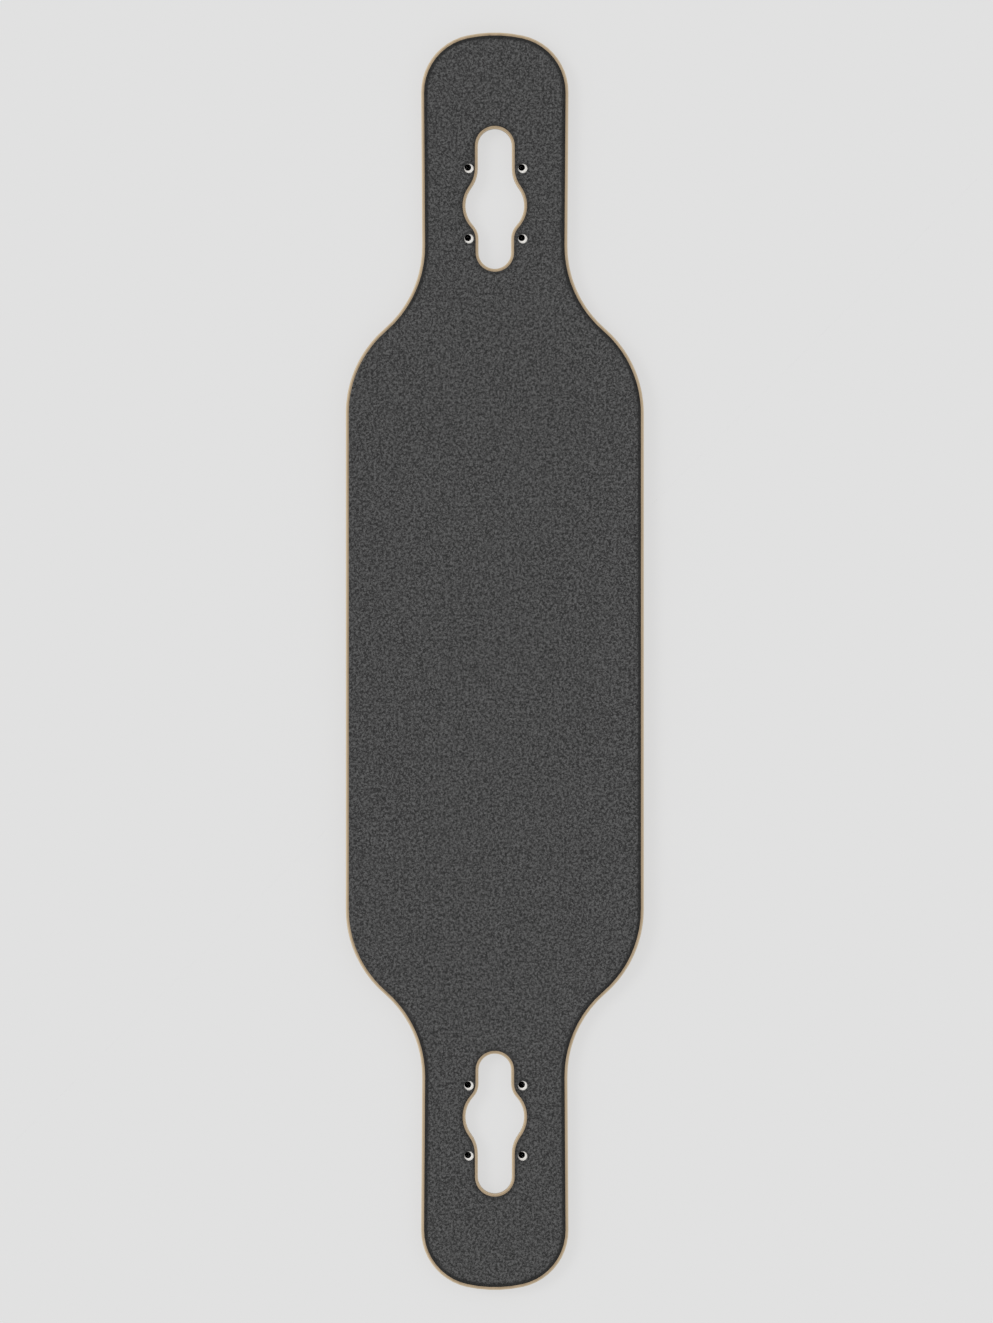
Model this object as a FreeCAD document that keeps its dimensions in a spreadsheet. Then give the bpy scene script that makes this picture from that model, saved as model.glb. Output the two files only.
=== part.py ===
"""Drop-through longboard deck: nine pressed maple veneers under one sheet of grip tape.

The deck lies as it is ridden. X runs across it, Y along it towards the nose, and Z points up.
The origin is on the underside, below the middle of the deck. All sizes are in millimetres.
"""

import FreeCAD
import Part
import Sketcher
import math
import os

from FreeCAD import Vector

# Driving dimensions: name, value, what it measures.
SIZES = [
    ("deck_length", 965.2, "nose tip to tail tip"),
    ("deck_width", 228.6, "rail to rail, across the standing platform"),
    ("shoulder_inset", 292.3, "nose or tail tip to the end of the straight rails"),
    ("shoulder_radius", 86.0, "bulging corner where the platform ends"),
    ("neck_radius", 83.6, "hollow corner between shoulder and neck"),
    ("neck_width", 111.4, "nose or tail, where the neck begins"),
    ("nose_width", 113.0, "nose or tail, where its corners begin"),
    ("nose_corner_radius", 44.5, "corners of the nose and tail"),
    ("nose_crown_radius", 100.6, "bow of the tips between those corners"),
    ("ply_thickness", 1.4, "one veneer"),
    ("platform_width", 120.0, "flat strip between the raised rails"),
    ("concave_rise", 3.2, "height of the rails above the flat strip"),
    ("edge_bevel", 1.1, "bevel along every sawn edge"),
    ("truck_inset", 130.6, "nose or tail tip to the middle of a truck's bolts"),
    ("bolt_spacing_along", 53.975, "truck bolts, along the deck"),
    ("bolt_spacing_across", 41.275, "truck bolts, across the deck"),
    ("bolt_hole_diameter", 5.0, "clearance hole for one truck bolt"),
    ("bulge_diameter", 45.2, "round middle of a truck cut-out"),
    ("bulge_shift", 2.2, "middle of the bolts to the bulge's centre, away from the tip"),
    ("outer_slot_width", 26.2, "cut-out's slot towards the tip"),
    ("outer_slot_reach", 56.8, "middle of the bolts to that slot's end"),
    ("outer_slot_blend", 25.4, "hollow corner between that slot and the bulge"),
    ("inner_slot_width", 25.2, "cut-out's slot away from the tip"),
    ("inner_slot_reach", 50.8, "middle of the bolts to that slot's end"),
    ("inner_slot_blend", 15.0, "hollow corner between that slot and the bulge"),
    ("grip_thickness", 1.2, "grip tape, film and grit together"),
    ("grip_setback", 1.05, "flat wood left bare between the grip tape and a bevel"),
    ("grip_bevel", 1.1, "filed along the cut edges of the grip tape"),
    ("grip_hole_diameter", 7.2, "hole punched in the grip tape over one truck bolt"),
    ("grip_hole_shift", 0.75, "how far those holes lie off the bolts, to the right and towards the tail"),
    ("saw_margin", 8.0, "pressed veneer that the saw removes all round"),
]

# The lay-up from the bottom up: the grain of most veneers runs along the deck, and of some across it.
PLIES = [
    "ply_1_bottom_face",
    "ply_2_long_grain",
    "ply_3_cross_grain",
    "ply_4_long_grain",
    "ply_5_cross_grain_core",
    "ply_6_long_grain",
    "ply_7_cross_grain",
    "ply_8_long_grain",
    "ply_9_top_face",
]

# Expressions that several features share. PRESS_RADIUS is that of the underside's raised wings.
STACK = f"(sizes.ply_thickness * {len(PLIES)})"
WING = "((sizes.deck_width - sizes.platform_width) / 2)"
PRESS_RADIUS = f"(({WING} ^ 2 + sizes.concave_rise ^ 2) / (2 * sizes.concave_rise))"
BLANK_HALF_WIDTH = "(sizes.deck_width / 2 + sizes.saw_margin)"
BLANK_HALF_LENGTH = "(sizes.deck_length / 2 + sizes.saw_margin)"
CUT_HEIGHT = f"({STACK} + sizes.concave_rise + 2 * sizes.saw_margin)"
RAIL_END = "(sizes.deck_length / 2 - sizes.shoulder_inset)"
TRUCK_MIDDLE = "(sizes.deck_length / 2 - sizes.truck_inset)"
BULGE_MIDDLE = f"({TRUCK_MIDDLE} - sizes.bulge_shift)"
OUTER_END_MIDDLE = f"({TRUCK_MIDDLE} + sizes.outer_slot_reach - sizes.outer_slot_width / 2)"
INNER_END_MIDDLE = f"({TRUCK_MIDDLE} - sizes.inner_slot_reach + sizes.inner_slot_width / 2)"
GRIP_TRIM = "(sizes.edge_bevel + sizes.grip_setback)"

# How a sketch numbers its origin and the points of a line, arc or circle.
ORIGIN = (-1, 1)
START, END, CENTRE = range(1, 4)
UP = Vector(0, 0, 1)

# A face whose normal rises by less than this is an upright wall.
WALL_SLOPE = 1e-6


def fill_sheet(doc):
    """The spreadsheet of driving dimensions, each beside what it measures."""
    sheet = doc.addObject("Spreadsheet::Sheet", "sizes")
    for row, (name, value, meaning) in enumerate(SIZES, start=1):
        sheet.set(f"A{row}", meaning)
        sheet.set(f"B{row}", str(value))
        sheet.setAlias(f"B{row}", name)
    doc.recompute()
    return sheet


def new_sketch(body, name, role, height=None):
    """A sketch on one of the body's origin planes, lifted by the expression height if there is one."""
    plane = next(feature for feature in body.Origin.OriginFeatures if feature.Role == role)
    sketch = body.newObject("Sketcher::SketchObject", f"{body.Name}_{name}")
    sketch.AttachmentSupport = (plane, [""])
    sketch.MapMode = "FlatFace"
    if height:
        sketch.setExpression("AttachmentOffset.Base.z", height)
    return sketch


def value_of(sketch, expression):
    """What the expression comes to now."""
    return float(sketch.evalExpression(expression))


def constrain(sketch, kind, *where):
    """A constraint with no size."""
    sketch.addConstraint(Sketcher.Constraint(kind, *where))


def dimension(sketch, kind, expression, *where):
    """A constraint whose size follows the expression."""
    size = value_of(sketch, expression)
    index = sketch.addConstraint(Sketcher.Constraint(kind, *where, size))
    sketch.setExpression(f"Constraints[{index}]", expression)


def place(sketch, direction, expression, geometry, point):
    """Holds a point at the expression's distance from the origin, on the side where it was drawn."""
    drawn = sketch.getPoint(geometry, point)
    coordinate = drawn.x if direction == "X" else drawn.y
    ends = (*ORIGIN, geometry, point) if coordinate > 0 else (geometry, point, *ORIGIN)
    dimension(sketch, f"Distance{direction}", expression, *ends)


def line(role, start, end, smooth=True):
    """A straight stretch of a loop. It is not smooth if it meets its neighbours in corners."""
    return {"role": role, "start": Vector(*start), "end": Vector(*end), "centre": None, "smooth": smooth}


def arc(role, start, end, centre, turn=1):
    """A round stretch of an anticlockwise loop: turn is 1 where the loop bulges, -1 where it is hollow."""
    return line(role, start, end) | {"centre": Vector(*centre), "turn": turn}


def flipped(loop, across, along):
    """The loop, or a stretch of it, mirrored by the two signs and still anticlockwise."""
    def at(point):
        return Vector(point.x * across, point.y * along)

    copies = []
    for old in loop:
        new = old | {"start": at(old["start"]), "end": at(old["end"])}
        if old["centre"]:
            new["centre"] = at(old["centre"])
        if across * along < 0:
            new["start"], new["end"] = new["end"], new["start"]
        copies.append(new)
    return copies if across * along > 0 else copies[::-1]


def draw(sketch, stretch):
    """Adds a stretch to the sketch, and notes its number and where the loop enters and leaves it."""
    start, end, centre = stretch["start"], stretch["end"], stretch["centre"]
    stretch["enter"], stretch["leave"] = START, END
    if centre is None:
        stretch["number"] = sketch.addGeometry(Part.LineSegment(start, end))
        return
    if stretch["turn"] < 0:
        start, end = end, start
        stretch["enter"], stretch["leave"] = END, START
    angles = [math.atan2(point.y - centre.y, point.x - centre.x) for point in (start, end)]
    circle = Part.Circle(centre, UP, (start - centre).Length)
    stretch["number"] = sketch.addGeometry(Part.ArcOfCircle(circle, *angles))


def draw_loop(sketch, loop):
    """Draws a closed loop and joins its stretches."""
    for stretch in loop:
        draw(sketch, stretch)
    for here, after in zip(loop, loop[1:] + loop[:1]):
        joint = "Tangent" if here["smooth"] and after["smooth"] else "Coincident"
        constrain(sketch, joint, here["number"], here["leave"], after["number"], after["enter"])


def between(start, end, length):
    """The point at that length from start on the way to end."""
    return start + (end - start).normalize() * length


def outline_half(sheet, sketch, grow):
    """The outline from the tail end of the right rail round the nose to the left rail."""
    rail = sheet.deck_width / 2 + grow
    rail_end = value_of(sketch, RAIL_END)
    shoulder = sheet.shoulder_radius + grow
    hollow = sheet.neck_radius - grow
    neck = sheet.neck_width / 2 + grow
    nose = sheet.nose_width / 2 + grow
    corner = sheet.nose_corner_radius + grow
    crown = sheet.nose_crown_radius + grow

    shoulder_centre = Vector(rail - shoulder, rail_end)
    sideways = neck + hollow - shoulder_centre.x
    forward = math.sqrt((shoulder + hollow) ** 2 - sideways ** 2)
    hollow_centre = Vector(neck + hollow, rail_end + forward)
    crown_centre = Vector(0, sheet.deck_length / 2 + grow - crown)
    corner_rise = math.sqrt((crown - corner) ** 2 - (nose - corner) ** 2)
    corner_centre = Vector(nose - corner, crown_centre.y + corner_rise)

    turn_over = between(shoulder_centre, hollow_centre, shoulder)
    neck_start = Vector(neck, hollow_centre.y)
    neck_end = Vector(nose, corner_centre.y)
    crown_start = between(crown_centre, corner_centre, crown)
    quarter = [
        arc("shoulder", (rail, rail_end), turn_over, shoulder_centre),
        arc("hollow", turn_over, neck_start, hollow_centre, turn=-1),
        line("neck", neck_start, neck_end),
        arc("corner", neck_end, crown_start, corner_centre),
    ]
    return [
        line("rail", (rail, -rail_end), (rail, rail_end)),
        *quarter,
        arc("crown", crown_start, (-crown_start.x, crown_start.y), crown_centre),
        *flipped(quarter, -1, 1),
    ]


def draw_outline(sketch, sheet, grow="0"):
    """The deck's outline, moved outwards all round by the expression grow."""
    half = outline_half(sheet, sketch, value_of(sketch, grow))
    loop = half + flipped(half, -1, -1)
    draw_loop(sketch, loop)
    radii = {
        "shoulder": f"sizes.shoulder_radius + {grow}",
        "hollow": f"sizes.neck_radius - {grow}",
        "corner": f"sizes.nose_corner_radius + {grow}",
        "crown": f"sizes.nose_crown_radius + {grow}",
    }
    for stretch in loop:
        role, number = stretch["role"], stretch["number"]
        if role in radii:
            dimension(sketch, "Radius", radii[role], number)
        if role == "rail":
            constrain(sketch, "Vertical", number)
            place(sketch, "X", f"sizes.deck_width / 2 + {grow}", number, START)
            place(sketch, "Y", RAIL_END, number, START)
            place(sketch, "Y", RAIL_END, number, END)
        if role == "neck":
            inner, outer = sorted((START, END), key=lambda point: abs(sketch.getPoint(number, point).y))
            place(sketch, "X", f"sizes.neck_width / 2 + {grow}", number, inner)
            place(sketch, "X", f"sizes.nose_width / 2 + {grow}", number, outer)
        if role == "crown":
            constrain(sketch, "Vertical", *ORIGIN, number, CENTRE)
            place(sketch, "Y", "sizes.deck_length / 2 - sizes.nose_crown_radius", number, CENTRE)


def cutout_loop(sheet, sketch, grow):
    """The truck cut-out at the nose, from its inner slot up the right side and back down the left."""
    inner = sheet.inner_slot_width / 2 + grow
    outer = sheet.outer_slot_width / 2 + grow
    bulge = sheet.bulge_diameter / 2 + grow
    inner_blend = sheet.inner_slot_blend - grow
    outer_blend = sheet.outer_slot_blend - grow

    bulge_centre = Vector(0, value_of(sketch, BULGE_MIDDLE))
    inner_end = Vector(0, value_of(sketch, INNER_END_MIDDLE))
    outer_end = Vector(0, value_of(sketch, OUTER_END_MIDDLE))
    inner_drop = math.sqrt((bulge + inner_blend) ** 2 - (inner + inner_blend) ** 2)
    outer_rise = math.sqrt((bulge + outer_blend) ** 2 - (outer + outer_blend) ** 2)
    inner_blend_centre = Vector(inner + inner_blend, bulge_centre.y - inner_drop)
    outer_blend_centre = Vector(outer + outer_blend, bulge_centre.y + outer_rise)

    inner_foot, inner_top = Vector(inner, inner_end.y), Vector(inner, inner_blend_centre.y)
    outer_foot, outer_top = Vector(outer, outer_blend_centre.y), Vector(outer, outer_end.y)
    bulge_start = between(bulge_centre, inner_blend_centre, bulge)
    bulge_stop = between(bulge_centre, outer_blend_centre, bulge)
    side = [
        line("inner_slot", inner_foot, inner_top),
        arc("inner_blend", inner_top, bulge_start, inner_blend_centre, turn=-1),
        arc("bulge", bulge_start, bulge_stop, bulge_centre),
        arc("outer_blend", bulge_stop, outer_foot, outer_blend_centre, turn=-1),
        line("outer_slot", outer_foot, outer_top),
    ]
    return [
        *side,
        arc("outer_end", outer_top, (-outer, outer_end.y), outer_end),
        *flipped(side, -1, 1),
        arc("inner_end", (-inner, inner_end.y), inner_foot, inner_end),
    ]


def draw_cutouts(sketch, sheet, grow="0"):
    """Both truck cut-outs, widened all round by the expression grow."""
    radii = {
        "inner_blend": f"sizes.inner_slot_blend - {grow}",
        "outer_blend": f"sizes.outer_slot_blend - {grow}",
        "bulge": f"sizes.bulge_diameter / 2 + {grow}",
    }
    half_widths = {
        "inner_slot": f"sizes.inner_slot_width / 2 + {grow}",
        "outer_slot": f"sizes.outer_slot_width / 2 + {grow}",
    }
    middles = {"inner_end": INNER_END_MIDDLE, "outer_end": OUTER_END_MIDDLE, "bulge": BULGE_MIDDLE}
    nose_loop = cutout_loop(sheet, sketch, value_of(sketch, grow))
    for loop in (nose_loop, flipped(nose_loop, 1, -1)):
        draw_loop(sketch, loop)
        for stretch in loop:
            role, number = stretch["role"], stretch["number"]
            if role in radii:
                dimension(sketch, "Radius", radii[role], number)
            if role in middles:
                constrain(sketch, "Vertical", *ORIGIN, number, CENTRE)
                place(sketch, "Y", middles[role], number, CENTRE)
            if role in half_widths:
                constrain(sketch, "Vertical", number)
            if role in half_widths and stretch["start"].x > 0:
                place(sketch, "X", half_widths[role], number, START)


def draw_bolt_circles(sketch, diameter, shift="0"):
    """Circles of the expression diameter on all eight truck bolts, moved by the expression shift.

    The shift is as far to the right as it is towards the tail.
    """
    across = "sizes.bolt_spacing_across / 2"
    outer_bolts = f"{TRUCK_MIDDLE} + sizes.bolt_spacing_along / 2"
    inner_bolts = f"{TRUCK_MIDDLE} - sizes.bolt_spacing_along / 2"
    for along in (outer_bolts, inner_bolts):
        for side in (1, -1):
            for end in (1, -1):
                aside = f"{across} + ({side}) * {shift}"
                ahead = f"{along} - ({end}) * {shift}"
                spot = Vector(side * value_of(sketch, aside), end * value_of(sketch, ahead))
                number = sketch.addGeometry(Part.Circle(spot, UP, value_of(sketch, diameter) / 2))
                dimension(sketch, "Diameter", diameter, number)
                place(sketch, "X", aside, number, CENTRE)
                place(sketch, "Y", ahead, number, CENTRE)


def draw_border(sketch):
    """The rectangle of pressed veneer before it is sawn."""
    across, along = value_of(sketch, BLANK_HALF_WIDTH), value_of(sketch, BLANK_HALF_LENGTH)
    corners = [(across, -along), (across, along), (-across, along), (-across, -along)]
    sides = zip(corners, corners[1:] + corners[:1])
    loop = [line("border", start, end, smooth=False) for start, end in sides]
    draw_loop(sketch, loop)
    for upright in loop[0::2]:
        constrain(sketch, "Vertical", upright["number"])
        place(sketch, "X", BLANK_HALF_WIDTH, upright["number"], START)
    for level in loop[1::2]:
        constrain(sketch, "Horizontal", level["number"])
        place(sketch, "Y", BLANK_HALF_LENGTH, level["number"], START)


def draw_press_section(sketch, sheet, lower, upper):
    """Cross-section of pressed veneer between two heights over the underside, given as expressions.

    The middle is flat. The wings curve up round axes that all veneers share, so that veneers stay parallel.
    """
    low, high = value_of(sketch, lower), value_of(sketch, upper)
    flat = sheet.platform_width / 2
    side = value_of(sketch, BLANK_HALF_WIDTH)
    radius = value_of(sketch, PRESS_RADIUS)
    axis = (flat, radius)
    low_end = radius - math.sqrt((radius - low) ** 2 - (side - flat) ** 2)
    high_end = radius - math.sqrt((radius - high) ** 2 - (side - flat) ** 2)
    right_wing = [
        arc("lower_wing", (flat, low), (side, low_end), axis),
        line("side", (side, low_end), (side, high_end), smooth=False),
        arc("upper_wing", (side, high_end), (flat, high), axis, turn=-1),
    ]
    top = line("flat", (flat, high), (-flat, high))
    bottom = line("flat", (-flat, low), (flat, low))
    loop = [*right_wing, top, *flipped(right_wing, -1, 1), bottom]
    draw_loop(sketch, loop)
    heights = {"lower_wing": lower, "upper_wing": upper}
    for stretch in loop:
        role, number = stretch["role"], stretch["number"]
        if role in heights:
            dimension(sketch, "Radius", f"{PRESS_RADIUS} - {heights[role]}", number)
            place(sketch, "X", "sizes.platform_width / 2", number, CENTRE)
            place(sketch, "Y", PRESS_RADIUS, number, CENTRE)
        if role == "side":
            constrain(sketch, "Vertical", number)
            place(sketch, "X", BLANK_HALF_WIDTH, number, START)


def press(doc, sheet, name, lower, upper):
    """A body of pressed veneer, not sawn yet, between two heights over the underside."""
    body = doc.addObject("PartDesign::Body", name)
    sketch = new_sketch(body, "section", "XZ_Plane")
    draw_press_section(sketch, sheet, lower, upper)
    pad = body.newObject("PartDesign::Pad", f"{name}_pressed")
    pad.Profile = sketch
    pad.SideType = "Symmetric"
    pad.setExpression("Length", f"2 * {BLANK_HALF_LENGTH}")
    return body


def cut_away(body, name, sketch):
    """Cuts the sketch's region out of the body, from the underside right through."""
    pocket = body.newObject("PartDesign::Pocket", f"{body.Name}_{name}")
    pocket.Profile = sketch
    pocket.Reversed = True
    pocket.setExpression("Length", CUT_HEIGHT)


def saw(doc, sheet, body, trim="0"):
    """Saws a pressed body to the deck's outline and cut-outs, cut back all round by the expression trim."""
    waste = new_sketch(body, "waste", "XY_Plane")
    draw_border(waste)
    draw_outline(waste, sheet, f"(-{trim})")
    cut_away(body, "sawn", waste)
    cutouts = new_sketch(body, "cutouts", "XY_Plane")
    draw_cutouts(cutouts, sheet, trim)
    cut_away(body, "routed", cutouts)
    doc.recompute()


def face_slope(face):
    """How far the face looks up: 1 for a level top, 0 for an upright wall, -1 for a level underside."""
    first, last, low, high = face.ParameterRange
    return face.normalAt((first + last) / 2, (low + high) / 2).z


def bevel(body, size, underside=True):
    """Bevels a sawn body where its upright walls meet the top and, unless told not to, the underside."""
    sawn = body.Tip
    edges = []
    for number, edge in enumerate(sawn.Shape.Edges, start=1):
        down, up = sorted(face_slope(face) for face in sawn.Shape.ancestorsOfType(edge, Part.Face))
        meets_top = abs(down) < WALL_SLOPE < up
        meets_underside = abs(up) < WALL_SLOPE < -down
        if meets_top or (underside and meets_underside):
            edges.append(f"Edge{number}")
    chamfer = body.newObject("PartDesign::Chamfer", f"{body.Name}_bevelled")
    chamfer.Base = (sawn, edges)
    chamfer.setExpression("Size", size)


def build_deck(doc, sheet):
    """The deck in one piece: pressed, sawn to its outline, routed, bevelled and drilled."""
    deck = press(doc, sheet, "deck", "0", STACK)
    saw(doc, sheet, deck)
    bevel(deck, "sizes.edge_bevel")
    bolts = new_sketch(deck, "bolts", "XY_Plane", STACK)
    draw_bolt_circles(bolts, "sizes.bolt_hole_diameter")
    holes = deck.newObject("PartDesign::Hole", "deck_drilled")
    holes.Profile = bolts
    doc.recompute()
    holes.ThreadType = "None"
    holes.DepthType = "ThroughAll"
    holes.setExpression("Diameter", "sizes.bolt_hole_diameter")
    doc.recompute()
    return deck


def overlap(doc, name, base, tool):
    """What two bodies have in common, as a node of that name."""
    node = doc.addObject("Part::Common", name)
    node.Base = base
    node.Tool = tool
    node.Label = name
    return node


def build_plies(doc, sheet, deck):
    """The veneers: the deck parted along its glue lines. The outer layers reach past the deck's faces."""
    plies = []
    for index, name in enumerate(PLIES):
        below = index if index > 0 else -1
        above = index + 1 if index + 1 < len(PLIES) else len(PLIES) + 1
        layer = press(
            doc, sheet, f"layer_{index + 1}",
            f"sizes.ply_thickness * ({below})",
            f"sizes.ply_thickness * {above}",
        )
        plies.append(overlap(doc, name, deck, layer))
    return plies


def build_grip(doc, sheet):
    """The grip tape: a sheet rolled onto the top veneer, cut off short of the deck's edges and filed there.

    Its bolt holes are wider than the deck's and a little off them, so a crescent of wood shows beside each.
    """
    grip = press(doc, sheet, "grip_tape", STACK, f"({STACK} + sizes.grip_thickness)")
    saw(doc, sheet, grip, GRIP_TRIM)
    bevel(grip, "sizes.grip_bevel", underside=False)
    bolts = new_sketch(grip, "bolts", "XY_Plane")
    draw_bolt_circles(bolts, "sizes.grip_hole_diameter", "sizes.grip_hole_shift")
    cut_away(grip, "punched", bolts)
    return grip


def check(doc, deck, plies, grip):
    """Stops the build if anything in it went wrong."""
    for thing in doc.Objects:
        if "Invalid" in thing.State or "Error" in thing.State:
            raise RuntimeError(f"{thing.Label} did not build: {thing.State}")
        if thing.TypeId == "Sketcher::SketchObject" and not thing.FullyConstrained:
            raise RuntimeError(f"{thing.Label} is not fully constrained")
    for node in (*plies, grip):
        if node.Shape.isNull() or not node.Shape.isValid() or len(node.Shape.Solids) != 1:
            raise RuntimeError(f"{node.Label} is not one sound solid")
    share = sum(ply.Shape.Volume for ply in plies) / deck.Shape.Volume
    if abs(share - 1) > 1e-4:
        raise RuntimeError(f"the veneers make up {share} of the deck")


doc = FreeCAD.newDocument("longboard_deck")
sheet = fill_sheet(doc)
deck = build_deck(doc, sheet)
plies = build_plies(doc, sheet, deck)
grip = build_grip(doc, sheet)
doc.recompute()
check(doc, deck, plies, grip)

os.makedirs("parts", exist_ok=True)
for node in (*plies, grip):
    node.Shape.exportStep(f"parts/{node.Label}.step")
    print(f"{node.Label}: {node.Shape.Volume / 1000:.1f} cm3")
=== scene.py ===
import math

import bpy
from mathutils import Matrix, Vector


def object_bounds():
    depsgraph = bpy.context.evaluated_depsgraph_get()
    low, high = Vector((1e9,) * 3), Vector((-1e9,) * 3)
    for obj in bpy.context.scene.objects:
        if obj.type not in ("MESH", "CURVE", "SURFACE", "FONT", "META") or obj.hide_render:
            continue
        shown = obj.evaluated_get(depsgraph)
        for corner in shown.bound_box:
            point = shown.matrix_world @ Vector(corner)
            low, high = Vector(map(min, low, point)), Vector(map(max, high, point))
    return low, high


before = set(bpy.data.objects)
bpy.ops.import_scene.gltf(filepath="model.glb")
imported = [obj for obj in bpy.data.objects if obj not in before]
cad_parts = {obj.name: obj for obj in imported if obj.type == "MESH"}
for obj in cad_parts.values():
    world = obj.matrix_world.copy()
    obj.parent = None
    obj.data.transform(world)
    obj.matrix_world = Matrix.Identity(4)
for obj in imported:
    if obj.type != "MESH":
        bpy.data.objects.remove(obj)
cad_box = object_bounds()
scene = bpy.context.scene
scene.view_settings.view_transform = "Standard"


# Long-grain veneers. Six of the deck's nine sheets of rotary-cut hard maple, with the grain along the deck.
# All nine are glued, pressed to the raised rails, sawn and sanded, and lacquered satin, so that the edges
# show the stack in bands, and the lowest sheet is the bare underside.

MM = 0.001
VENEER, VENEER_COUNT = 1.4 * MM, 9
DECK_WIDTH = cad_box[1][0] - cad_box[0][0]
PLATFORM_WIDTH, RAIL_RISE = 120 * MM, 3.2 * MM
WING = (DECK_WIDTH - PLATFORM_WIDTH) / 2
PRESS_RADIUS = (WING**2 + RAIL_RISE**2) / (2 * RAIL_RISE)
TRUCK_MIDDLE = 352 * MM
BOLT_SPACING_ACROSS, BOLT_SPACING_ALONG = 41.275 * MM, 53.975 * MM
BORE_RADIUS = 2.5 * MM


def linear(colour):
    """An sRGB hex colour as linear red, green, blue and alpha."""
    parts = [int(colour[i : i + 2], 16) / 255 for i in (1, 3, 5)]
    return [p / 12.92 if p <= 0.04045 else ((p + 0.055) / 1.055) ** 2.4 for p in parts] + [1]


def add(tree, kind, inputs=None, **settings):
    """Adds a node. Each input is a value, a socket to link from, or a node whose first output is linked."""
    made = tree.nodes.new(kind)
    for name, setting in settings.items():
        setattr(made, name, setting)
    for socket, source in (inputs or {}).items():
        if isinstance(source, bpy.types.Node):
            source = source.outputs[0]
        if isinstance(source, bpy.types.NodeSocket):
            tree.links.new(source, made.inputs[socket])
        else:
            made.inputs[socket].default_value = source
    return made


def new_material(name):
    """A material with an empty node tree."""
    material = bpy.data.materials.new(name)
    material.use_nodes = True
    material.node_tree.nodes.clear()
    return material


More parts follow.
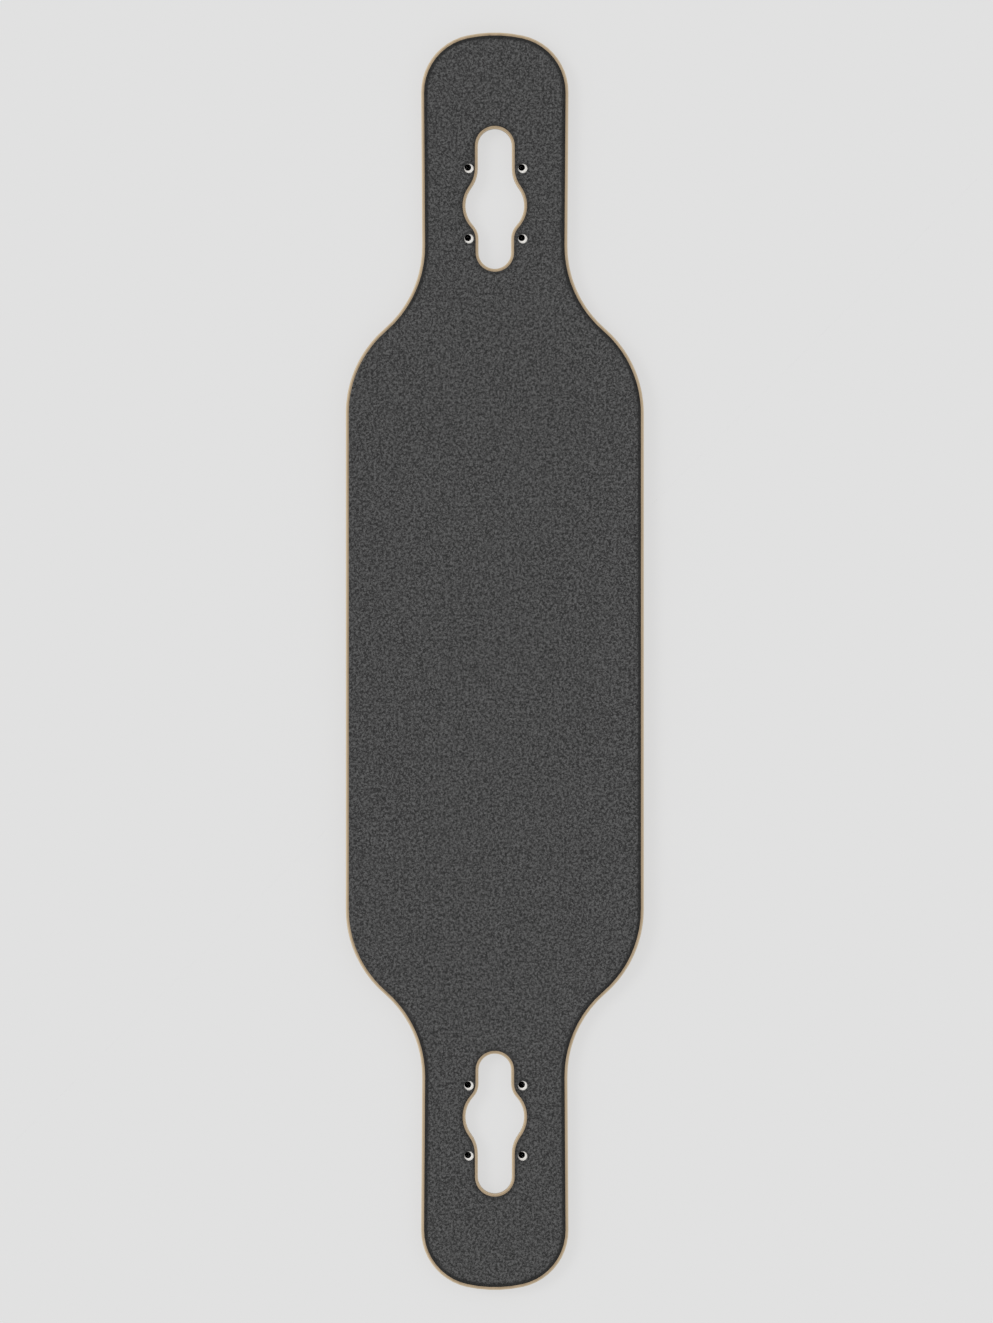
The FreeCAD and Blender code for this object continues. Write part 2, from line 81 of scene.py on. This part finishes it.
def lacquered_maple(name, grain, across):
    """Hard maple: pale and close-grained, with faint growth rings, fine fibres and darker end grain.

    grain and across are the directions of the fibres and of the veneer's width. The satin lacquer gives a
    soft sheen.
    """
    material = new_material(name)
    tree = material.node_tree
    position = add(tree, "ShaderNodeTexCoord").outputs["Object"]
    normal = add(tree, "ShaderNodeNewGeometry").outputs["Normal"]

    # Height over the underside, measured through the pressed stack, in veneers.
    place = add(tree, "ShaderNodeSeparateXYZ", {0: position}).outputs
    aside = add(tree, "ShaderNodeMath", {0: place["X"]}, operation="ABSOLUTE")
    past_flat = add(tree, "ShaderNodeMath", {0: aside, 1: PLATFORM_WIDTH / 2}, operation="SUBTRACT")
    wing = add(tree, "ShaderNodeMath", {0: past_flat, 1: 0}, operation="MAXIMUM")
    below_axis = add(tree, "ShaderNodeMath", {0: PRESS_RADIUS, 1: place["Z"]}, operation="SUBTRACT")
    from_axis = add(tree, "ShaderNodeCombineXYZ", {"X": wing, "Y": below_axis})
    reach = add(tree, "ShaderNodeVectorMath", {0: from_axis}, operation="LENGTH").outputs["Value"]
    height = add(tree, "ShaderNodeMath", {0: PRESS_RADIUS, 1: reach}, operation="SUBTRACT")
    layers = add(tree, "ShaderNodeMath", {0: height, 1: VENEER}, operation="DIVIDE")
    sheet = add(tree, "ShaderNodeMath", {0: layers}, operation="FLOOR")

    # Growth rings, 14 mm apart on a rotary-cut sheet, wander along the deck. Each sheet has its own.
    ring_spacing, wander_in_rings = 14 * MM, 6
    drift_across, drift_along = 70 * MM, 420 * MM
    ring_step = Vector(across) / ring_spacing
    drift_step = Vector(across) / drift_across + Vector(grain) / drift_along
    straight = add(tree, "ShaderNodeVectorMath", {0: position, 1: ring_step}, operation="DOT_PRODUCT")
    drift_place = add(tree, "ShaderNodeVectorMath", {0: position, 1: drift_step}, operation="MULTIPLY")
    drift = add(
        tree,
        "ShaderNodeTexNoise",
        {"Vector": drift_place, "W": sheet, "Scale": 1, "Detail": 2},
        noise_dimensions="4D",
    )
    wandering = add(
        tree,
        "ShaderNodeMath",
        {0: drift, 1: wander_in_rings, 2: straight.outputs["Value"]},
        operation="MULTIPLY_ADD",
    )
    turns = add(tree, "ShaderNodeMath", {0: wandering, 1: math.tau}, operation="MULTIPLY")
    rings = add(tree, "ShaderNodeMath", {0: turns}, operation="SINE")

    # Fibres, drawn 0.8 mm wide and 40 mm long, which is coarser than maple's so that they show.
    fibre_width, fibre_length = 0.8 * MM, 40 * MM
    fibre_step = (Vector(across) + Vector((0, 0, 1))) / fibre_width + Vector(grain) / fibre_length
    fibre_place = add(tree, "ShaderNodeVectorMath", {0: position, 1: fibre_step}, operation="MULTIPLY")
    fibres = add(
        tree,
        "ShaderNodeTexNoise",
        {"Vector": fibre_place, "Scale": 1, "Detail": 3, "Roughness": 0.6},
    )

    # Rings and fibres together are the figure of a face.
    pale, streak = "#B7A183", "#9B8567"
    ring_depth, fibre_depth = 0.4, 0.6
    noise_low, noise_high = 0.3, 0.7
    ring_share = add(tree, "ShaderNodeMapRange", {"Value": rings, "From Min": -1, "To Max": ring_depth})
    fibre_share = add(
        tree,
        "ShaderNodeMapRange",
        {"Value": fibres, "From Min": noise_low, "From Max": noise_high, "To Max": fibre_depth},
    )
    figure = add(tree, "ShaderNodeMath", {0: ring_share, 1: fibre_share}, operation="ADD", use_clamp=True)
    face_tone = add(
        tree, "ShaderNodeMixRGB", {"Fac": figure, "Color1": linear(pale), "Color2": linear(streak)}
    )

    # End grain, where the surface looks along the fibres, soaks up lacquer and turns darker.
    end, end_begins, end_full = "#8A7357", 0.2, 0.9
    along_grain = add(tree, "ShaderNodeVectorMath", {0: normal, 1: grain}, operation="DOT_PRODUCT")
    facing_end = add(tree, "ShaderNodeMath", {0: along_grain.outputs["Value"]}, operation="ABSOLUTE")
    end_share = add(
        tree, "ShaderNodeMapRange", {"Value": facing_end, "From Min": end_begins, "From Max": end_full}
    )
    wood_tone = add(
        tree, "ShaderNodeMixRGB", {"Fac": end_share, "Color1": face_tone, "Color2": linear(end)}
    )

    # The bevels are sanded last and worn paler, and their paler tone is also a painted highlight along them.
    # They lie half-way between a face, whose level is 1, and an upright edge, whose level is 0.
    wear_and_painted_light, wear_and_highlight_depth = "#E0CCAA", 0.5
    face_ends, bevel_begins, bevel_ends, edge_begins = 0.95, 0.8, 0.5, 0.2
    rise = add(tree, "ShaderNodeSeparateXYZ", {0: normal}).outputs["Z"]
    level = add(tree, "ShaderNodeMath", {0: rise}, operation="ABSOLUTE")
    off_face = add(
        tree, "ShaderNodeMapRange", {"Value": level, "From Min": face_ends, "From Max": bevel_begins}
    )
    off_edge = add(
        tree,
        "ShaderNodeMapRange",
        {"Value": level, "From Min": edge_begins, "From Max": bevel_ends, "To Max": wear_and_highlight_depth},
    )
    bevel_share = add(tree, "ShaderNodeMath", {0: off_face, 1: off_edge}, operation="MULTIPLY")
    worn_and_highlight_tone = add(
        tree, "ShaderNodeMixRGB", {"Fac": bevel_share, "Color1": wood_tone, "Color2": linear(wear_and_painted_light)}
    )

    # Glue lines lie half and half in two neighbouring sheets, and show only on sawn edges. They are drawn
    # thicker than they are, so that they show.
    glue, glue_line, glue_depth = "#5E4630", 0.2 * MM, 0.8
    to_middle = add(tree, "ShaderNodeMath", {0: layers, 1: 0.5}, operation="ADD")
    in_sheet = add(tree, "ShaderNodeMath", {0: to_middle}, operation="FRACT")
    off_seam = add(tree, "ShaderNodeMath", {0: in_sheet, 1: 0.5}, operation="SUBTRACT")
    from_seam = add(tree, "ShaderNodeMath", {0: off_seam}, operation="ABSOLUTE")
    seam = add(
        tree,
        "ShaderNodeMapRange",
        {"Value": from_seam, "From Max": glue_line / VENEER, "To Min": glue_depth, "To Max": 0},
    )
    glue_share = add(tree, "ShaderNodeMath", {0: seam, 1: off_face}, operation="MULTIPLY")
    glued_tone = add(
        tree, "ShaderNodeMixRGB", {"Fac": glue_share, "Color1": worn_and_highlight_tone, "Color2": linear(glue)}
    )

    # Bolt holes: the bore is painted near-black, as painted shade down the hole, and round it the drill
    # tears the lacquer off the top skin, down to raw wood, whose near-white tone is partly a painted
    # highlight.
    painted_bore_shade, raw_and_highlight_pale, raw_streak = "#1E1710", "#FAF8F4", "#E6E0D6"
    bare_radius, bore_wall = 5 * MM, 1.02 * BORE_RADIUS
    top_skin = VENEER_COUNT - 0.1
    aside_of_bolt = add(tree, "ShaderNodeMath", {0: aside, 1: BOLT_SPACING_ACROSS / 2}, operation="SUBTRACT")
    from_middle = add(tree, "ShaderNodeMath", {0: place["Y"]}, operation="ABSOLUTE")
    from_truck = add(tree, "ShaderNodeMath", {0: from_middle, 1: TRUCK_MIDDLE}, operation="SUBTRACT")
    truck_gap = add(tree, "ShaderNodeMath", {0: from_truck}, operation="ABSOLUTE")
    past_bolt = add(tree, "ShaderNodeMath", {0: truck_gap, 1: BOLT_SPACING_ALONG / 2}, operation="SUBTRACT")
    bolt_offset = add(tree, "ShaderNodeCombineXYZ", {"X": aside_of_bolt, "Y": past_bolt})
    from_bolt = add(tree, "ShaderNodeVectorMath", {0: bolt_offset}, operation="LENGTH").outputs["Value"]
    near_bolt = add(tree, "ShaderNodeMath", {0: from_bolt, 1: bare_radius}, operation="LESS_THAN")
    on_top = add(tree, "ShaderNodeMath", {0: layers, 1: top_skin}, operation="GREATER_THAN")
    bare = add(tree, "ShaderNodeMath", {0: near_bolt, 1: on_top}, operation="MULTIPLY")
    raw_wood_and_highlight_tone = add(
        tree,
        "ShaderNodeMixRGB",
        {"Fac": fibre_share, "Color1": linear(raw_and_highlight_pale), "Color2": linear(raw_streak)},
    )
    torn_and_highlight_tone = add(tree, "ShaderNodeMixRGB", {"Fac": bare, "Color1": glued_tone, "Color2": raw_wood_and_highlight_tone})
    in_bore = add(tree, "ShaderNodeMath", {0: from_bolt, 1: bore_wall}, operation="LESS_THAN")
    # The bore wall takes the painted shade.
    colour = add(
        tree, "ShaderNodeMixRGB", {"Fac": in_bore, "Color1": torn_and_highlight_tone, "Color2": linear(painted_bore_shade)}
    )

    # The lacquer sinks in a little between the fibres, and is duller there.
    glossy, dull = 0.34, 0.46
    fibre_relief = 0.05 * MM
    sheen = add(
        tree,
        "ShaderNodeMapRange",
        {"Value": fibres, "From Min": noise_low, "From Max": noise_high, "To Min": glossy, "To Max": dull},
    )
    relief = add(tree, "ShaderNodeBump", {"Strength": 0.2, "Distance": fibre_relief, "Height": fibres})
    surface = add(
        tree,
        "ShaderNodeBsdfPrincipled",
        {"Base Color": colour, "Roughness": sheen, "Normal": relief, "IOR": 1.5},
    )
    add(tree, "ShaderNodeOutputMaterial", {"Surface": surface})
    return material


def dress(nodes, material):
    """Gives CAD nodes their material."""
    for name in nodes:
        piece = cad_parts[name]
        for material_slot in piece.material_slots:
            material_slot.material = material


maple_along = lacquered_maple("lacquered hard maple, grain along", grain=(0, 1, 0), across=(1, 0, 0))
long_grain = [
    "ply_1_bottom_face",
    "ply_2_long_grain",
    "ply_4_long_grain",
    "ply_6_long_grain",
    "ply_8_long_grain",
    "ply_9_top_face",
]
dress(long_grain, maple_along)


# Cross-grain veneers. The three sheets between them, of the same maple with the grain across the deck,
# which keep it from splitting. Along the rails they show end grain, so they are the darker bands there.

maple_across = lacquered_maple("lacquered hard maple, grain across", grain=(1, 0, 0), across=(0, 1, 0))
cross_grain = ["ply_3_cross_grain", "ply_5_cross_grain_core", "ply_7_cross_grain"]
dress(cross_grain, maple_across)


# Grip tape. One sheet of black film, coated with silicon carbide grit and stuck to the top veneer. It was
# rolled on, filed along the deck's edges and cut off there, so a narrow black bevel frames it; the black
# there is partly bare film and partly painted shade, darkest along the right rail. Its holes for the bolts
# lie a little off those in the wood, so a crescent of raw wood shows at each, its near-white tone partly a
# painted highlight.

grit_tape = new_material("silicon carbide grit on black film")
tree = grit_tape.node_tree
position = add(tree, "ShaderNodeTexCoord").outputs["Object"]
normal = add(tree, "ShaderNodeNewGeometry").outputs["Normal"]

# Grit of 0.3 mm would not show from here, so it is drawn in angular grains 0.7 mm across. Each has a tone
# and a lean of its own and is darker towards its rim, partly the black film between grains and partly
# painted shade there, and they lie in lighter and darker clumps 1.9 mm across.
grain, clump = 0.7 * MM, 1.9 * MM
grit_dark, grit_pale = "#242424", "#626262"
tone_low, tone_high = 0.05, 0.95
clump_low, clump_high, clump_depth = 0.2, 0.8, 0.38
rim_begins, rim_ends, rim_depth = 0.3, 0.8, 0.35
grains = add(tree, "ShaderNodeTexVoronoi", {"Vector": position, "Scale": 1 / grain}).outputs
chance = add(tree, "ShaderNodeTexWhiteNoise", {"Vector": grains["Position"]}).outputs
clumps = add(
    tree,
    "ShaderNodeTexNoise",
    {"Vector": grains["Position"], "Scale": 1 / clump, "Detail": 0},
    noise_dimensions="2D",
)
grain_share = add(
    tree, "ShaderNodeMapRange", {"Value": chance["Value"], "To Min": tone_low, "To Max": tone_high}
)
clump_share = add(
    tree,
    "ShaderNodeMapRange",
    {
        "Value": clumps,
        "From Min": clump_low,
        "From Max": clump_high,
        "To Min": -clump_depth,
        "To Max": clump_depth,
    },
)
# Darker towards each grain's rim: dark film between grains together with painted shade.
rim_share = add(
    tree,
    "ShaderNodeMapRange",
    {"Value": grains["Distance"], "From Min": rim_begins, "From Max": rim_ends, "To Max": rim_depth},
)
lit_share = add(tree, "ShaderNodeMath", {0: grain_share, 1: clump_share}, operation="ADD", use_clamp=True)
grit_share = add(tree, "ShaderNodeMath", {0: lit_share, 1: rim_share}, operation="SUBTRACT", use_clamp=True)
grit_colour = add(
    tree,
    "ShaderNodeMixRGB",
    {"Fac": grit_share, "Color1": linear(grit_dark), "Color2": linear(grit_pale)},
)

# The file leaves bare film along the cut edges and wears the grit off just beside them, grain by grain, and
# this dark band is also painted shade along the edges. The nearer an edge is, the more the rounded normal
# leans away from upright, and pale grains hold out longer.
file_reach, grain_hold = 4 * MM, 0.003
band_begins, band_full = 0.997, 0.99
rounded = add(tree, "ShaderNodeBevel", {"Radius": file_reach}, samples=16)
rise = add(tree, "ShaderNodeSeparateXYZ", {0: rounded}).outputs["Z"]
held = add(tree, "ShaderNodeMath", {0: grit_share, 1: grain_hold, 2: rise}, operation="MULTIPLY_ADD")
wear_and_painted_light = add(tree, "ShaderNodeMapRange", {"Value": held, "From Min": band_begins, "From Max": band_full})

# Its painted shade fades out towards the left rail, so that the right rail's edge is darker, and round the
# cut-outs the band is half as dark.
cutout_fade = 0.5
cutout_half_length, cutout_half_width = 65 * MM, 40 * MM
left_rail, left_platform = -DECK_WIDTH / 2, -DECK_WIDTH / 4
place = add(tree, "ShaderNodeSeparateXYZ", {0: position}).outputs
from_middle = add(tree, "ShaderNodeMath", {0: place["Y"]}, operation="ABSOLUTE")
by_truck = add(
    tree,
    "ShaderNodeMath",
    {0: from_middle, 1: TRUCK_MIDDLE, 2: cutout_half_length},
    operation="COMPARE",
)
by_axis = add(tree, "ShaderNodeMath", {0: place["X"], 1: 0, 2: cutout_half_width}, operation="COMPARE")
by_cutout = add(tree, "ShaderNodeMath", {0: by_truck, 1: by_axis}, operation="MULTIPLY")
on_rim = add(
    tree,
    "ShaderNodeMapRange",
    {"Value": place["X"], "From Min": left_rail, "From Max": left_platform},
)
painted_shade_weight = add(tree, "ShaderNodeMath", {0: by_cutout, 1: -cutout_fade, 2: on_rim}, operation="MULTIPLY_ADD")
# The edge band: filed wear together with painted shade, darkest along the right rail.
filed_and_shaded = add(tree, "ShaderNodeMath", {0: wear_and_painted_light, 1: painted_shade_weight}, operation="MULTIPLY")
film_dark, film_pale = "#141414", "#282828"
film_colour = add(
    tree,
    "ShaderNodeMixRGB",
    {"Fac": chance["Value"], "Color1": linear(film_dark), "Color2": linear(film_pale)},
)
colour = add(tree, "ShaderNodeMixRGB", {"Fac": filed_and_shaded, "Color1": grit_colour, "Color2": film_colour})

# Each grain is a facet that leans some way and stands up from the film, and some are glossier than others.
facet_lean, grit_relief = 0.5, 0.2 * MM
dull, glossy = 0.85, 0.55
mean_chance = (0.5, 0.5, 0.5)
lean = add(tree, "ShaderNodeVectorMath", {0: chance["Color"], 1: mean_chance}, operation="SUBTRACT")
leaning = add(
    tree,
    "ShaderNodeVectorMath",
    {0: lean, 1: (facet_lean, facet_lean, facet_lean), 2: normal},
    operation="MULTIPLY_ADD",
)
facet = add(tree, "ShaderNodeVectorMath", {0: leaning}, operation="NORMALIZE")
height = add(tree, "ShaderNodeMath", {0: grit_share, 1: filed_and_shaded}, operation="SUBTRACT")
relief = add(
    tree,
    "ShaderNodeBump",
    {"Strength": 0.3, "Distance": grit_relief, "Height": height, "Normal": facet},
)
sheen = add(tree, "ShaderNodeMapRange", {"Value": chance["Value"], "To Min": dull, "To Max": glossy})
surface = add(
    tree,
    "ShaderNodeBsdfPrincipled",
    {"Base Color": colour, "Roughness": sheen, "Normal": relief, "IOR": 1.5, "Specular IOR Level": 0.3},
)
add(tree, "ShaderNodeOutputMaterial", {"Surface": surface})
dress(["grip_tape"], grit_tape)


# Floor. A plain pale sheet of matt paper that the deck lies on, a hair below it so that no two faces share a
# plane. To the camera it is evenly pale with a faint shadow.

floor_half, floor_gap = 20, 0.2 * MM
floor_corners = [(-floor_half, -floor_half, 0), (floor_half, -floor_half, 0)]
floor_corners += [(floor_half, floor_half, 0), (-floor_half, floor_half, 0)]
floor_mesh = bpy.data.meshes.new("floor")
floor_mesh.from_pydata(floor_corners, [], [(0, 1, 2, 3)])
floor = bpy.data.objects.new("floor", floor_mesh)
floor.location.z = -floor_gap
scene.collection.objects.link(floor)


def seen_directly(tree):
    """1 for rays from the camera, and for those it sees by reflection or through glass, or else 0."""
    ray = add(tree, "ShaderNodeLightPath").outputs
    mirrored = add(tree, "ShaderNodeMath", {0: ray["Is Camera Ray"], 1: ray["Is Glossy Ray"]})
    return add(tree, "ShaderNodeMath", {0: mirrored, 1: ray["Is Transmission Ray"]}, use_clamp=True)


# Openness is 1 on the open floor and falls towards 0 where the deck shuts out the light. Close to the deck
# the shadow is full, and deep under it and at the bottom of a bolt hole, from where hardly any light comes
# back, the paper is black.
floor_colour = linear("#E1E1E1")
shadow_share, shade_reach = 0.2, 20 * MM
under_deck, beside_deck = 0.15, 0.25
hole_bottom, hole_mouth = 0.06, 0.14
paper = new_material("matt white paper")
tree = paper.node_tree
matt = add(tree, "ShaderNodeBsdfDiffuse", {"Color": floor_colour})
even = add(tree, "ShaderNodeEmission", {"Color": floor_colour, "Strength": 1})
openness = add(tree, "ShaderNodeAmbientOcclusion", {"Distance": shade_reach}, samples=16).outputs["AO"]
even_share = add(
    tree,
    "ShaderNodeMapRange",
    {"Value": openness, "From Min": under_deck, "From Max": beside_deck, "To Max": 1 - shadow_share},
)
evened = add(tree, "ShaderNodeMixShader", {0: even_share, 1: matt, 2: even})
lit_share = add(
    tree, "ShaderNodeMapRange", {"Value": openness, "From Min": hole_bottom, "From Max": hole_mouth}
)
sunk = add(tree, "ShaderNodeMixShader", {0: lit_share, 2: evened})
seen = add(tree, "ShaderNodeMixShader", {0: seen_directly(tree), 1: matt, 2: sunk})
add(tree, "ShaderNodeOutputMaterial", {"Surface": seen})
floor_mesh.materials.append(paper)


# Light. One large soft lamp from the upper left of the photograph, and an even glow from the room round it.
# Their shares add up to 1, so that a colour renders about as it is written.

room_share, lamp_share = 0.8, 0.2
lamp_tilt, lamp_spread = math.radians(40), math.radians(25)
upper_left = Vector((-1, 0.4, 0))
lamp_side = upper_left.normalized() * math.sin(lamp_tilt)
towards_lamp = lamp_side + Vector((0, 0, math.cos(lamp_tilt)))
lamp_data = bpy.data.lights.new("lamp", "SUN")
lamp_data.angle = lamp_spread
lamp_data.energy = lamp_share * math.pi / math.cos(lamp_tilt)
lamp = bpy.data.objects.new("lamp", lamp_data)
lamp.rotation_mode = "QUATERNION"
lamp.rotation_quaternion = towards_lamp.to_track_quat("Z", "Y")
scene.collection.objects.link(lamp)

room = bpy.data.worlds.new("room")
room.use_nodes = True
tree = room.node_tree
tree.nodes.clear()
glow = add(tree, "ShaderNodeBackground", {"Color": (1, 1, 1, 1), "Strength": room_share})
backdrop = add(tree, "ShaderNodeBackground", {"Color": floor_colour, "Strength": 1})
seen = add(tree, "ShaderNodeMixShader", {0: seen_directly(tree), 1: glow, 2: backdrop})
add(tree, "ShaderNodeOutputWorld", {"Surface": seen})
scene.world = room


# Camera. Straight above the deck with the nose at the top of the picture, and so far off that the deck's
# upright edges don't show. The picture is 1015.4 mm high at the top of the deck.

view_height = 1015.4 * MM
view_centre = (1.3 * MM, -0.2 * MM)
deck_top = 13.8 * MM
distance = 10
camera_data = bpy.data.cameras.new("camera")
camera_data.lens = camera_data.sensor_width * distance / view_height
camera = bpy.data.objects.new("camera", camera_data)
camera.location = (*view_centre, deck_top + distance)
scene.collection.objects.link(camera)
scene.camera = camera
